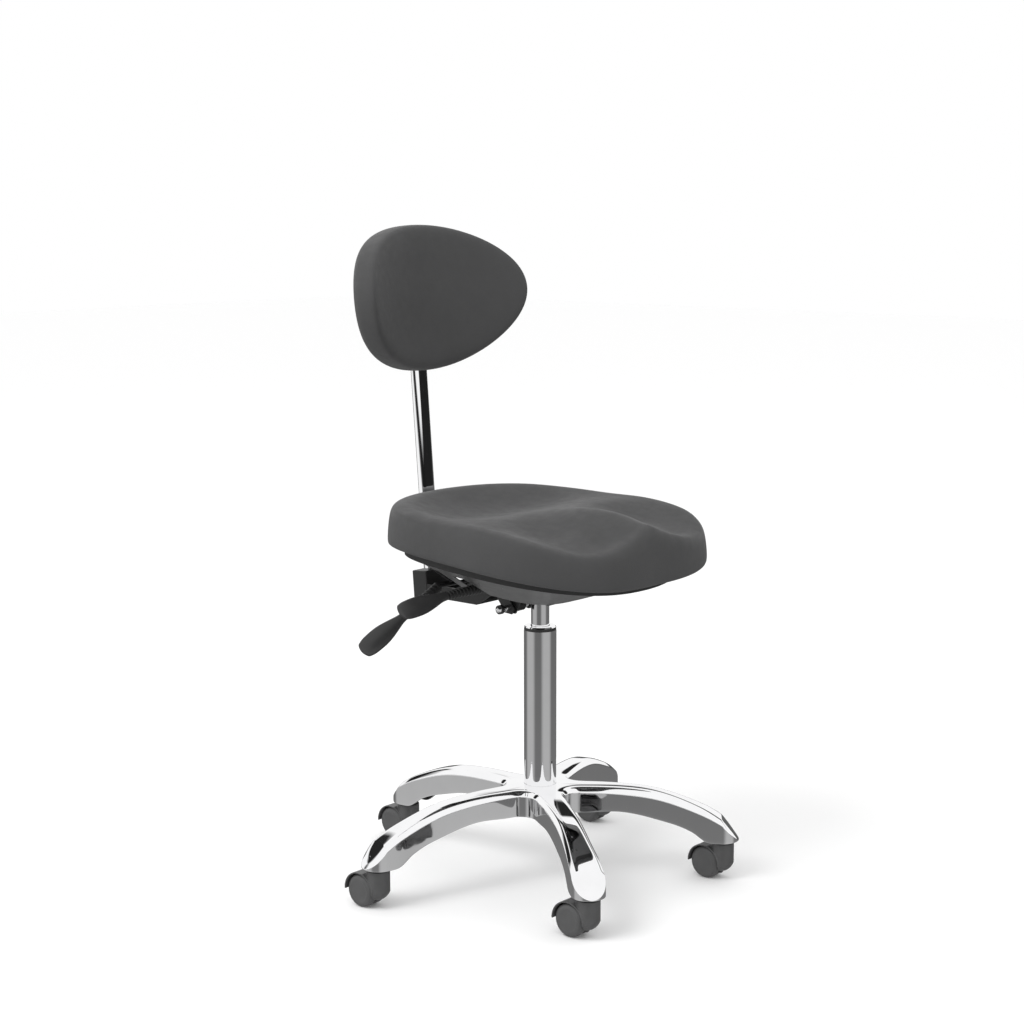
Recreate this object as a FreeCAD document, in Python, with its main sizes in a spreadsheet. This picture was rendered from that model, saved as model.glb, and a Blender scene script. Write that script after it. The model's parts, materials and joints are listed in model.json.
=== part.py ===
"""Ergonomic work stool on casters: contoured seat, oval backrest, gas lift, tilt mechanism.

+Z is up, the chair faces -Y, and the origin is on the floor on the column's axis.
The user's right hand is on the -X side.  All sizes are in millimetres and degrees.
"""
import FreeCAD, Part
import math
import os
import re
import Sketcher
from FreeCAD import Placement, Rotation, Vector

doc = FreeCAD.newDocument("caster_stool")
sheet = doc.addObject("Spreadsheet::Sheet", "Sizes")

DRIVING = (
    # five-arm base
    ("caster_circle", 282.0, "radius of the circle the casters swivel on"),
    ("foot_radius", 25.0, "rounded end of each arm, seen from above"),
    ("foot_under", 63.0, "height of the flat under each foot"),
    ("foot_top_start", 262.0, "distance out where the foot's sloping top starts"),
    ("arm_half_hub", 23.0, "half width of an arm near the hub"),
    ("arm_half_mid", 20.5, "half width of an arm half way out"),
    ("arm_crest", 148.5, "highest point of an arm"),
    ("hub_top", 146.0, "height of the hub's top"),
    ("hub_under", 108.0, "height of the hub's underside"),
    ("arm_fillet", 24.0, "radius of the corner between two arms"),
    ("arm_wall", 5.0, "wall of the hollow casting"),
    ("socket_radius", 33.0, "outside of the hub's socket for the column"),
    ("socket_under", 99.0, "foot of the hub's socket"),
    # casters
    ("wheel_radius", 25.0, "caster wheel radius"),
    ("wheel_width", 14.5, "width of one caster wheel"),
    ("wheel_gap", 3.25, "half gap between the two wheels"),
    ("caster_trail", 24.0, "caster axle behind its stem"),
    ("stem_radius", 5.5, "caster stem radius"),
    ("stem_top", 86.0, "top of the caster stem"),
    ("stem_depth", 10.0, "depth of the caster stem in its hood"),
    ("running_gap", 0.05, "radial clearance of a turning or sliding fit"),
    ("caster_axle_radius", 3.0, "caster axle radius"),
    ("hood_top", 59.0, "top of the caster hood's boss"),
    ("hood_boss_radius", 17.5, "caster hood's boss radius"),
    ("hood_round_z", 34.0, "height below which the boss rounds off"),
    ("hood_round_radius", 22.0, "radius of the boss's round foot"),
    ("hood_foot", 15.0, "underside of the caster hood's boss"),
    ("hood_gap", 1.6, "gap between a wheel and the hood over it"),
    ("hood_wall", 2.2, "wall of the caster hood"),
    ("stem_ring_radius", 16.2, "black ring between hood and foot"),
    # column
    ("tube_radius", 25.0, "stand tube outside radius"),
    ("tube_wall", 2.0, "stand tube wall"),
    ("tube_foot", 98.0, "foot of the stand tube"),
    ("tube_foot_radius", 23.6, "stand tube radius at its foot"),
    ("taper_start", 163.0, "height where the stand tube starts to taper"),
    ("tube_top", 389.4, "top of the stand tube"),
    ("ring_height", 4.6, "height of the black ring on the tube"),
    ("cap_height", 2.0, "height of the bright cap on the ring"),
    ("bush_length", 85.0, "length of the guide bush in the tube"),
    ("lift_radius", 14.0, "gas cylinder radius"),
    ("lift_foot", 120.0, "foot of the gas cylinder when lowered"),
    ("lift_wall", 2.0, "gas cylinder wall"),
    ("lift_taper_start", 440.0, "height where the cylinder's top taper starts"),
    ("lift_top", 472.0, "top of the gas cylinder when lowered"),
    ("lift_top_radius", 13.2, "gas cylinder radius at its top"),
    ("rod_radius", 5.0, "piston rod radius"),
    ("rod_collar_radius", 8.0, "collar on the rod over the thrust bearing"),
    ("bearing_height", 6.0, "thrust bearing height"),
    ("button_radius", 3.5, "release button radius"),
    ("button_height", 4.5, "release button above the cylinder"),
    # tilt mechanism
    ("housing_half", 34.0, "half width of the mechanism housing"),
    ("housing_front", -46.0, "front wall of the housing"),
    ("housing_rear", 92.0, "rear wall of the housing"),
    ("housing_under", 437.0, "underside of the housing"),
    ("housing_high", 37.0, "height of the housing walls"),
    ("steel", 3.0, "thickness of the pressed steel"),
    ("tilt_y", 30.0, "tilt axle behind the column"),
    ("tilt_z", 425.0, "height of the tilt axle"),
    ("axle_radius", 5.0, "tilt axle radius"),
    ("axle_half", 61.0, "half length of the tilt axle"),
    ("recline_y", 76.0, "back arm's pivot behind the column"),
    ("recline_z", 450.0, "height of the back arm's pivot"),
    ("arm_half_width", 29.0, "half width of the back arm"),
    ("arm_under", 418.0, "underside of the back arm"),
    # levers
    ("front_lever_y", 25.0, "front lever behind the column"),
    ("rear_lever_y", 82.0, "rear lever behind the column"),
    ("lever_z", 466.0, "height of the lever pivots"),
    ("lever_rod_radius", 3.0, "lever rod radius"),
    ("lever_pivot", 28.0, "lever pivots, from the middle"),
    ("lever_pin_radius", 2.0, "radius of the levers' pivot pins"),
    ("front_slot_half", 6.0, "half length of the front lever's slot in the housing"),
    ("rear_slot_half", 5.0, "half length of the rear lever's slot in the housing"),
    ("sleeve_start", 88.0, "inner end of the front sleeve, from the middle"),
    ("sleeve_length", 95.0, "length of the front sleeve"),
    ("sleeve_root", 8.0, "radius of the sleeve's thick end"),
    ("sleeve_tip", 6.5, "radius of the sleeve's thin end"),
    ("paddle_length", 98.0, "length of a lever paddle"),
    ("paddle_width", 30.0, "width of a lever paddle"),
    ("paddle_thick", 6.0, "thickness of a lever paddle"),
    ("paddle_pitch", 42.0, "paddle's twist about its rod"),
    ("rear_bend_x", 138.0, "bend of the rear lever rod, from the middle"),
    ("front_paddle_drop", 6.0, "front paddle's fall from its rod"),
    ("rear_drop", 24.0, "rear lever's fall outside its bend"),
    # seat
    ("seat_z", 502.0, "height of the cushion's underside over the column"),
    ("seat_slope", 4.57, "forward tilt of the seat as it stands"),
    ("seat_dish", 15.0, "rise of the seat shell's sides at 200 mm from its middle"),
    ("seat_half_width", 218.0, "seat cushion half width"),
    ("seat_front", -221.0, "front edge of the cushion"),
    ("seat_rear", 217.0, "rear edge of the cushion"),
    ("seat_thick", 63.0, "cushion thickness at its rim"),
    ("seat_rim_scale", 0.955, "outline of the cushion's top against its underside"),
    ("board_scale", 0.89, "outline of the seat board against the cushion"),
    ("board_thick", 12.0, "seat board thickness"),
    ("pommel_high", 14.0, "height of the front centre ridge over the rim"),
    ("tray_depth", 34.0, "depth of the tray under the board"),
    ("tray_scale", 0.86, "tray's top outline against the cushion"),
    ("tray_flange", 0.2, "width of the tray's flange against the cushion"),
    ("tray_half_x", 104.0, "half width of the tray's lower rim"),
    ("tray_front", -92.0, "front of the tray's lower rim"),
    ("tray_rear", 118.0, "rear of the tray's lower rim"),
    ("tray_wall", 2.5, "tray wall"),
    ("notch_top", 1.0, "top of the levers' notches under the tray's top"),
    ("notch_half", 13.0, "half length of a lever's notch in the tray"),
    ("notch_ahead", 6.0, "notches ahead of their levers, for the tray moves back as the seat tilts"),
    # backrest
    ("post_y", 249.3, "post behind the column at the backrest's lower edge"),
    ("post_z", 767.5, "height of the backrest's lower edge"),
    ("back_lean", 4.44, "backward lean of the post"),
    ("post_wide", 30.0, "post width"),
    ("post_deep", 15.0, "post depth"),
    ("post_wall", 2.0, "post wall"),
    ("post_down", 355.0, "post below the backrest's lower edge"),
    ("post_up", 158.0, "post inside the backrest"),
    ("holder_wide", 60.0, "post holder width"),
    ("holder_deep", 30.0, "post holder depth"),
    ("holder_high", 48.0, "post holder height"),
    ("holder_floor", 4.0, "floor of the post holder under the post"),
    ("back_half_width", 178.0, "backrest half width"),
    ("back_half_height", 113.6, "backrest half height"),
    ("back_centre", 117.0, "backrest centre above its lower edge"),
    ("back_curve", 295.0, "radius of the backrest's curve in plan"),
    ("back_front", -34.7, "front face of the backrest from the post's centre"),
    ("back_thick", 51.5, "backrest thickness"),
    ("back_skin", 21.0, "padding in front of the back board"),
    ("back_board_thick", 4.0, "back board thickness"),
    ("back_rim", 20.0, "padding round the back board"),
)
for row, (alias, number, meaning) in enumerate(DRIVING, 1):
    sheet.set(f"A{row}", meaning)
    sheet.set(f"B{row}", str(number))
    sheet.setAlias(f"B{row}", alias)
doc.recompute()

X_AXIS = Vector(1, 0, 0)
Y_AXIS = Vector(0, 1, 0)
Z_AXIS = Vector(0, 0, 1)
ARM_ANGLES = (90, 18, -54, -126, 162)
SECTOR = math.radians(36)
nodes = []


def size(alias):
    return float(sheet.get(alias))


def cells(text):
    """Point each alias in an expression at the sheet."""
    return re.sub(r"\b([a-z][a-z_]+)\b(?!\()", r"Sizes.\1", str(text))


def value(text):
    return float(sheet.evalExpression(cells(text)))


def finished(item, name):
    item.Label = name
    nodes.append(item)
    return item


def placed(item, x="0", y="0", z="0", turn=None):
    item.Placement = Placement(Vector(value(x), value(y), value(z)), turn or Rotation())
    for letter, text in (("x", x), ("y", y), ("z", z)):
        item.setExpression(f"Placement.Base.{letter}", cells(text))
    return item


def plane_of(body, role):
    return next(item for item in body.Origin.OriginFeatures if item.Role == role)


def outline(body, name, role, corners):
    """A closed sketch of straight lines whose corners are bound to the sheet."""
    sketch = body.newObject("Sketcher::SketchObject", name)
    sketch.AttachmentSupport = [(plane_of(body, role), "")]
    sketch.MapMode = "FlatFace"
    spots = [Vector(value(a), value(b), 0) for a, b in corners]
    count = len(spots)
    for i in range(count):
        sketch.addGeometry(Part.LineSegment(spots[i], spots[(i + 1) % count]), False)
    for i in range(count):
        sketch.addConstraint(Sketcher.Constraint("Coincident", i, 2, (i + 1) % count, 1))
    for i, (across, up) in enumerate(corners):
        for kind, axis, text in (("DistanceX", -2, across), ("DistanceY", -1, up)):
            if abs(value(text)) < 1e-9:
                sketch.addConstraint(Sketcher.Constraint("PointOnObject", i, 1, axis))
            else:
                index = sketch.addConstraint(Sketcher.Constraint(kind, i, 1, value(text)))
                sketch.setExpression(f"Constraints[{index}]", cells(text))
    return sketch


def turned(name, corners):
    """A body turned about Z from (radius, height) corners."""
    body = doc.addObject("PartDesign::Body", name)
    sketch = outline(body, name + "_profile", "XZ_Plane", corners)
    spin = body.newObject("PartDesign::Revolution", name + "_turn")
    spin.Profile = sketch
    spin.ReferenceAxis = (sketch, ["V_Axis"])
    spin.Angle = 360
    return body


def primitive(kind, name, **sizes):
    item = doc.addObject("Part::" + kind, name)
    for key, text in sizes.items():
        item.setExpression(key, cells(text))
    return item


def shaped(name, shape, where=None):
    """A node whose shape comes from Part's own functions and the sheet's sizes."""
    item = doc.addObject("Part::Feature", name)
    item.Shape = shape
    if where:
        item.Placement = where
    return finished(item, name)


def spline_wire(points, closed=True):
    curve = Part.BSplineCurve()
    curve.interpolate(points, PeriodicFlag=closed)
    return Part.Wire([curve.toShape()])


def pin_shape(radius, length, centre, axis):
    """A plain round pin whose middle is at centre."""
    start = centre - axis * (length / 2)
    return Part.makeCylinder(radius, length, start, axis)


# ---------------------------------------------------------------- five-arm base

def arm_corner(angle, along, across):
    """A point in plan, given along and across an arm that points at angle degrees."""
    turn = math.radians(angle)
    return Vector(along * math.cos(turn) - across * math.sin(turn),
                  along * math.sin(turn) + across * math.cos(turn), 0)


def caster_spot(angle):
    return arm_corner(angle, size("caster_circle"), 0)


def star_plan(inset):
    """The star seen from above, its edges moved in by inset."""
    half = size("arm_half_hub") - inset
    middle = size("arm_half_mid") - inset
    foot = size("foot_radius") - inset
    corner = size("arm_fillet") + inset
    reach = (half + corner) / math.tan(SECTOR)
    circle = size("caster_circle")
    stations = ((reach, half), (150.0, middle), (225.0, middle + 0.8), (circle - 22, foot - 1.2),
                (circle, foot))
    edges = []
    for angle in ARM_ANGLES:
        for side in (-1, 1):
            ordered = stations if side < 0 else stations[::-1]
            points = [arm_corner(angle, a, side * w) for a, w in ordered]
            flank = Part.BSplineCurve()
            flank.interpolate(points)
            edges.append(flank.toShape())
            if side < 0:
                edges.append(Part.Arc(points[-1], arm_corner(angle, circle + foot, 0),
                                      arm_corner(angle, circle, foot)).toShape())
        start = arm_corner(angle, reach, half)
        bottom = arm_corner(angle + 36, (half + corner) / math.sin(SECTOR) - corner, 0)
        end = arm_corner(angle + 72, reach, -half)
        edges.append(Part.Arc(start, bottom, end).toShape())
    return Part.Face(Part.Wire(Part.__sortEdges__(edges)))


def crown(drop):
    """The top of an arm from the column's axis to its tip, lowered by drop, and its two ends."""
    circle = size("caster_circle")
    middle = Vector(0, 0, size("hub_top") - drop)
    ridge = [(60, size("hub_top") + 0.8), (120, size("arm_crest")), (185, 139.5), (230, 124.5),
             (size("foot_top_start"), 110), (circle, 97.5), (circle + 15, 82),
             (circle + size("foot_radius") + 1, size("foot_under") + 2)]
    points = [Vector(along, 0, high - drop) for along, high in ridge]
    curve = Part.BSplineCurve()
    curve.interpolate(points)
    return [Part.LineSegment(middle, points[0]).toShape(), curve.toShape()], middle, points[-1]


def turned_face(edges):
    face = Part.Face(Part.Wire(Part.__sortEdges__(edges)))
    return face.revolve(Vector(), Z_AXIS, 360)


def star_section():
    """Half the star's section, turned about Z: crowned arms that fall to sloping feet."""
    circle = size("caster_circle")
    under = size("foot_under")
    hub = size("hub_under")
    edges, middle, tip = crown(0)
    arch = [Vector(72, 0, hub), Vector(125, 0, hub + 1.5), Vector(185, 0, 97), Vector(225, 0, 84),
            Vector(circle - 37, 0, 72)]
    below = Part.BSplineCurve()
    below.interpolate(arch)
    heel = Vector(circle - 26, 0, under)
    toe = Vector(tip.x, 0, under)
    edges += [Part.LineSegment(tip, toe).toShape(), Part.LineSegment(toe, heel).toShape(),
              Part.Arc(heel, Vector(circle - 34, 0, under + 4), arch[-1]).toShape(),
              below.toShape(), Part.LineSegment(arch[0], Vector(0, 0, hub)).toShape(),
              Part.LineSegment(Vector(0, 0, hub), middle).toShape()]
    return turned_face(edges)


def hollow_section():
    """The space under the arms: one wall below their crown, and open towards the floor."""
    edges, middle, tip = crown(size("arm_wall"))
    low = Vector(tip.x, 0, 20)
    centre = Vector(0, 0, 20)
    edges += [Part.LineSegment(tip, low).toShape(), Part.LineSegment(low, centre).toShape(),
              Part.LineSegment(centre, middle).toShape()]
    return turned_face(edges)


def make_base_star():
    """One casting: five arms, a hub and its socket, hollow below and bored for what it holds."""
    deep = 200
    star = star_plan(0).extrude(Vector(0, 0, deep)).common(star_section())
    hollow = star_plan(size("arm_wall")).extrude(Vector(0, 0, deep)).common(hollow_section())
    under = size("foot_under")
    bosses = [Part.makeCylinder(size("socket_radius"), deep)]
    stems = []
    for angle in ARM_ANGLES:
        spot = caster_spot(angle)
        bosses.append(Part.makeCylinder(size("stem_radius") + 6, deep, spot))
        spot.z = under
        bore = size("stem_radius") + size("running_gap")
        stems.append(Part.makeCylinder(bore, size("stem_top") - under, spot))
    star = star.cut(hollow.cut(bosses))
    socket_under = size("socket_under")
    star = star.fuse(Part.makeCylinder(size("socket_radius"), size("hub_under") + 5 - socket_under,
                                       Vector(0, 0, socket_under)))
    column = Part.makeCone(size("tube_foot_radius"), size("tube_radius"),
                           size("taper_start") - size("tube_foot"), Vector(0, 0, size("tube_foot")))
    return shaped("base_star", star.cut(stems + [column]).removeSplitter())


make_base_star()


# ---------------------------------------------------------------- casters

def make_hood(name, spot):
    """The fender over both wheels, with the boss that takes the stem and the web between them."""
    axle = Vector(0, size("caster_trail"), size("wheel_radius"))
    inside = size("wheel_radius") + size("hood_gap")
    outside = inside + size("hood_wall")
    half = size("wheel_gap") + size("wheel_width") + 1.0
    drum = pin_shape(outside, 2 * half, axle, X_AXIS)
    keep = Part.makeBox(4 * half, 2 * outside, outside, Vector(-2 * half, axle.y - outside, axle.z - 1))
    fender = drum.common(keep)
    boss_radius = size("hood_boss_radius")
    top = size("hood_top")
    foot = size("hood_foot")
    round_z = size("hood_round_z")
    boss = Part.makeCylinder(boss_radius, top - foot, Vector(0, 0, foot))
    rounding = Part.makeSphere(size("hood_round_radius"), Vector(0, 4, round_z))
    boss = boss.common(rounding.fuse(Part.makeCylinder(boss_radius, top, Vector(0, 0, round_z))))
    shell = fender.fuse(boss)
    gap = size("hood_gap")
    room_wide = size("wheel_width") + 2 * gap + 1
    for side in (-1, 1):
        middle = side * (size("wheel_gap") - gap / 2 + room_wide / 2)
        shell = shell.cut(pin_shape(inside, room_wide, axle + X_AXIS * middle, X_AXIS))
    web_half = size("wheel_gap") - gap / 2
    web = pin_shape(outside - 0.5, 2 * web_half, axle, X_AXIS)
    web = web.common(Part.makeBox(20, 60, 50, Vector(-10, axle.y - 36, 9)))
    shell = shell.fuse(web)
    shell = shell.cut(Part.makeCylinder(size("stem_radius"), 40, Vector(0, 0, top - size("stem_depth"))))
    shell = shell.cut(pin_shape(size("caster_axle_radius") + size("running_gap"), 60, axle, X_AXIS))
    return shaped(name, shell.removeSplitter(), Placement(spot, Rotation()))


def make_caster(number, angle):
    spot = caster_spot(angle)
    x, y = spot.x, spot.y
    name = f"caster_{number}"
    stem = turned(name + "_stem_pin", (
        ("0", "hood_top-stem_depth"), ("stem_radius", "hood_top-stem_depth"),
        ("stem_radius", "hood_top"),
        ("stem_ring_radius", "hood_top"), ("stem_ring_radius", "foot_under-0.4"),
        ("stem_radius", "foot_under-0.4"), ("stem_radius", "stem_top-1.5"),
        ("stem_radius-1.2", "stem_top-0.3"), ("0", "stem_top-0.3")))
    finished(placed(stem, x, y, "0"), name + "_stem")
    make_hood(name + "_hood", spot)
    along_x = Rotation(Y_AXIS, 90)
    axle = primitive("Cylinder", name + "_axle_rod", Radius="caster_axle_radius",
                     Height="2*wheel_gap+2*wheel_width-6")
    placed(axle, f"{x}-wheel_gap-wheel_width+3", f"{y}+caster_trail", "wheel_radius", along_x)
    finished(axle, name + "_axle")
    for side, word in ((-1, "right"), (1, "left")):
        wheel = turned(f"{name}_{word}_disc", (
            ("caster_axle_radius+running_gap", "0"), ("wheel_radius-2.5", "0"),
            ("wheel_radius", "1.2"), ("wheel_radius", "wheel_width-3"),
            ("wheel_radius-2.8", "wheel_width"), ("0", "wheel_width"), ("0", "wheel_width-2.8"),
            ("caster_axle_radius+running_gap", "wheel_width-2.8")))
        turn = Rotation(Y_AXIS, 90 * side)
        placed(wheel, f"{x}+{side}*wheel_gap", f"{y}+caster_trail", "wheel_radius", turn)
        finished(wheel, f"{name}_wheel_{word}")


for number, angle in enumerate(ARM_ANGLES, 1):
    make_caster(number, angle)


# ---------------------------------------------------------------- column

def make_column():
    """Stand tube, guide bush, gas cylinder, piston rod and the bearing the rod turns on."""
    finished(turned("stand_tube_body", (
        ("rod_radius+1", "tube_foot"), ("tube_foot_radius", "tube_foot"),
        ("tube_radius", "taper_start"), ("tube_radius", "tube_top"),
        ("tube_radius-tube_wall", "tube_top"), ("tube_radius-tube_wall", "taper_start"),
        ("tube_foot_radius-tube_wall", "tube_foot+3"), ("rod_radius+1", "tube_foot+3"))), "stand_tube")
    finished(turned("tube_top_ring_body", (
        ("lift_radius+1", "tube_top"), ("tube_radius-0.4", "tube_top"),
        ("tube_radius-0.4", "tube_top+ring_height"), ("lift_radius+1", "tube_top+ring_height"))),
        "tube_top_ring")
    finished(turned("tube_cap_body", (
        ("lift_radius+1", "tube_top+ring_height"), ("tube_radius-0.6", "tube_top+ring_height"),
        ("tube_radius-1.6", "tube_top+ring_height+cap_height"),
        ("lift_radius+1", "tube_top+ring_height+cap_height"))), "tube_cap")
    finished(turned("guide_bush_body", (
        ("lift_radius+running_gap", "tube_top-bush_length"),
        ("tube_radius-tube_wall", "tube_top-bush_length"), ("tube_radius-tube_wall", "tube_top"),
        ("lift_radius+running_gap", "tube_top"))), "guide_bush")
    finished(turned("gas_cylinder_body", (
        ("rod_radius+running_gap", "lift_foot"), ("lift_radius-1", "lift_foot"),
        ("lift_radius", "lift_foot+1"), ("lift_radius", "lift_taper_start"),
        ("lift_top_radius", "lift_top"), ("button_radius+running_gap", "lift_top"),
        ("button_radius+running_gap", "lift_top-14"), ("lift_radius-lift_wall-1", "lift_top-14"),
        ("lift_radius-lift_wall", "lift_foot+14"), ("rod_radius+running_gap", "lift_foot+14"))),
        "gas_cylinder")
    finished(turned("piston_rod_body", (
        ("0", "tube_foot-4.5"), ("rod_radius-1", "tube_foot-4.5"), ("rod_radius", "tube_foot-3.5"),
        ("rod_radius", "tube_foot+bearing_height+3.2"),
        ("rod_collar_radius", "tube_foot+bearing_height+3.2"),
        ("rod_collar_radius", "tube_foot+bearing_height+7"), ("rod_radius", "tube_foot+bearing_height+7"),
        ("rod_radius", "lift_top-44"), ("lift_radius-lift_wall-1.2", "lift_top-44"),
        ("lift_radius-lift_wall-1.2", "lift_top-32"), ("0", "lift_top-32"))), "piston_rod")
    finished(turned("thrust_bearing_body", (
        ("rod_radius+0.3", "tube_foot+3"), ("rod_radius+6", "tube_foot+3"),
        ("rod_radius+6", "tube_foot+5"), ("rod_radius+4.5", "tube_foot+6"),
        ("rod_radius+6", "tube_foot+7"), ("rod_radius+6", "tube_foot+bearing_height+3"),
        ("rod_radius+0.3", "tube_foot+bearing_height+3"))), "thrust_bearing")
    finished(turned("retaining_clip_body", (
        ("rod_radius", "tube_foot-2"), ("rod_radius+4", "tube_foot-2"),
        ("rod_radius+4", "tube_foot-0.4"), ("rod_radius", "tube_foot-0.4"))), "retaining_clip")
    finished(turned("release_button_body", (
        ("0", "lift_top-13"), ("button_radius", "lift_top-13"),
        ("button_radius", "lift_top+button_height-0.8"),
        ("button_radius-0.8", "lift_top+button_height"), ("0", "lift_top+button_height"))),
        "release_button")


make_column()


# ---------------------------------------------------------------- tilt mechanism

def seat_frame():
    """The seat's own frame: origin under the cushion on the column's axis, tilted forwards."""
    return Placement(Vector(0, 0, size("seat_z")), Rotation(X_AXIS, size("seat_slope")))


def lever_pivot(y, half, radius):
    """A lever's pivot pin, or the hole for it, about the lever's turning axis."""
    middle = Vector(-size("lever_pivot"), y, size("lever_z"))
    return pin_shape(radius, 2 * half, middle, Y_AXIS)


def lever_lugs(y, gap):
    """Two lugs inside the housing's right wall, gap either side of y, that hold a lever's pin."""
    steel = size("steel")
    wall = size("housing_half") - steel
    lugs = []
    for start in (y - gap - steel, y + gap):
        lugs.append(Part.makeBox(wall - size("lever_pivot") + steel + 0.5, steel, 6.5,
                                 Vector(-wall - 0.5, start, size("lever_z") - 3)))
    return lugs


def make_housing():
    half = size("housing_half")
    front = size("housing_front")
    deep = size("housing_rear") - front
    under = size("housing_under")
    steel = size("steel")
    high = size("housing_high")
    tray = Part.makeBox(2 * half, deep, high, Vector(-half, front, under))
    tray = tray.cut(Part.makeBox(2 * half - 2 * steel, deep - 2 * steel, high,
                                 Vector(steel - half, front + steel, under + steel)))
    tilt = Vector(0, size("tilt_y"), size("tilt_z"))
    for side in (-1, 1):
        inner = side * half if side < 0 else half - steel
        ear = Part.makePolygon([Vector(inner, tilt.y - 22, under + 4), Vector(inner, tilt.y + 26, under + 4),
                                Vector(inner, tilt.y + 9, tilt.z - 9), Vector(inner, tilt.y - 9, tilt.z - 9),
                                Vector(inner, tilt.y - 22, under + 4)])
        tray = tray.fuse(Part.Face(ear).extrude(X_AXIS * steel))
    socket = Part.makeCylinder(20, size("lift_top") - under, Vector(0, 0, under))
    tray = tray.fuse(socket)
    cylinder = Part.makeCylinder(size("lift_radius"), size("lift_taper_start"))
    taper = Part.makeCone(size("lift_radius"), size("lift_top_radius"),
                          size("lift_top") - size("lift_taper_start"),
                          Vector(0, 0, size("lift_taper_start")))
    tilt_hole = pin_shape(size("axle_radius"), 4 * half, tilt, X_AXIS)
    recline = Vector(0, size("recline_y"), size("recline_z"))
    recline_hole = pin_shape(size("axle_radius"), 4 * half, recline, X_AXIS)
    tray = tray.cut([cylinder, taper, tilt_hole, recline_hole])
    flank = size("arm_half_width") - steel / 2
    for side in (-1, 1):
        notch = Part.makeBox(steel + 1.4, 60, 60, Vector(side * flank - steel / 2 - 0.7, 60, under - 10))
        tray = tray.cut(notch)
    levers = ((size("front_lever_y"), size("front_slot_half")),
              (size("rear_lever_y"), size("rear_slot_half")))
    for y, gap in levers:
        tray = tray.cut(Part.makeBox(half, 2 * gap, 20, Vector(-half - 3, y - gap, size("lever_z") - 7)))
        tray = tray.fuse(lever_lugs(y, gap))
        tray = tray.cut(lever_pivot(y, gap + steel + 0.1, size("lever_pin_radius") + size("running_gap")))
    return shaped("mechanism_housing", tray.removeSplitter())


def make_tilt_axle():
    """A plain pin with domed ends and a dark washer at each end."""
    corners = (("0", "-axle_half-3.5"), ("axle_radius-1.6", "-axle_half-3"),
               ("axle_radius", "-axle_half"), ("axle_radius", "axle_half"),
               ("axle_radius-1.6", "axle_half+3"), ("0", "axle_half+3.5"))
    along_x = Rotation(Y_AXIS, 90)
    finished(placed(turned("tilt_axle_pin", corners), "0", "tilt_y", "tilt_z", along_x), "tilt_axle")
    rings = []
    for side in (-1, 1):
        middle = Vector(side * (size("axle_half") - 3), size("tilt_y"), size("tilt_z"))
        ring = pin_shape(size("axle_radius") + 2, 6, middle, X_AXIS)
        rings.append(ring.cut(pin_shape(size("axle_radius"), 8, middle, X_AXIS)))
    shaped("axle_washers", Part.makeCompound(rings))
    recline = primitive("Cylinder", "recline_pin", Radius="axle_radius", Height="2*housing_half+4")
    placed(recline, "-housing_half-2", "recline_y", "recline_z", along_x)
    finished(recline, "back_pivot_axle")
    coils = []
    wire = 1.5
    count = 8
    ring_radius = size("axle_radius") + wire + 0.3
    for side in (-1, 1):
        for i in range(count):
            x = side * (size("housing_half") - size("steel") - 2.4 - 2 * wire * i)
            coils.append(Part.makeTorus(ring_radius, wire, Vector(x, size("tilt_y"), size("tilt_z")), X_AXIS))
    shaped("tilt_springs", Part.makeCompound(coils))


def make_seat_plate():
    """An inverted channel screwed under the seat board, with two ears that hang on the axle."""
    steel = size("steel")
    top = -size("board_thick")
    plate = Part.makeBox(150, 165, steel, Vector(-75, -72, top - steel))
    tilt = seat_frame().inverse().multVec(Vector(0, size("tilt_y"), size("tilt_z")))
    inner = size("housing_half") + 2.5
    shape = plate
    for side in (-1, 1):
        x = inner if side > 0 else -inner - steel
        ear = Part.makePolygon([
            Vector(x, 40, top - steel / 2), Vector(x, 72, top - steel / 2), Vector(x, 62, -52),
            Vector(x, tilt.y + 12, tilt.z - 2), Vector(x, tilt.y + 7, tilt.z - 9),
            Vector(x, tilt.y - 7, tilt.z - 9), Vector(x, tilt.y - 12, tilt.z), Vector(x, 38, -48),
            Vector(x, 40, top - steel / 2)])
        shape = shape.fuse(Part.Face(ear).extrude(X_AXIS * steel))
    hole = pin_shape(size("axle_radius") + size("running_gap"), 300, tilt, X_AXIS)
    bolts = [Part.makeCylinder(3.3, 40, Vector(x, y, -40)) for x, y in BOLT_SPOTS]
    return shaped("seat_plate", shape.cut([hole] + bolts).removeSplitter(), seat_frame())


BOLT_SPOTS = tuple((60 * a, 10 + 68 * b) for a in (-1, 1) for b in (-1, 1))


def lean_frame():
    """The post's own frame: Z runs up the post from the backrest's lower edge."""
    return Placement(Vector(0, size("post_y"), size("post_z")), Rotation(X_AXIS, -size("back_lean")))


def flat_oval(wide, deep, low, high):
    """A flat-oval prism about Z, long side across X."""
    half = (wide - deep) / 2
    radius = deep / 2
    corners = [Vector(-half, -radius, low), Vector(half, -radius, low),
               Vector(half + radius, 0, low), Vector(half, radius, low),
               Vector(-half, radius, low), Vector(-half - radius, 0, low)]
    edges = [Part.LineSegment(corners[0], corners[1]).toShape(),
             Part.Arc(corners[1], corners[2], corners[3]).toShape(),
             Part.LineSegment(corners[3], corners[4]).toShape(),
             Part.Arc(corners[4], corners[5], corners[0]).toShape()]
    return Part.Face(Part.Wire(edges)).extrude(Z_AXIS * (high - low))


def holder_block(low):
    """The block that takes the post's foot, in the post's frame, with its foot at low."""
    wide = size("holder_wide")
    deep = size("holder_deep")
    return Part.makeBox(wide, deep, size("holder_high"), Vector(-wide / 2, -deep / 2, low))


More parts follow.
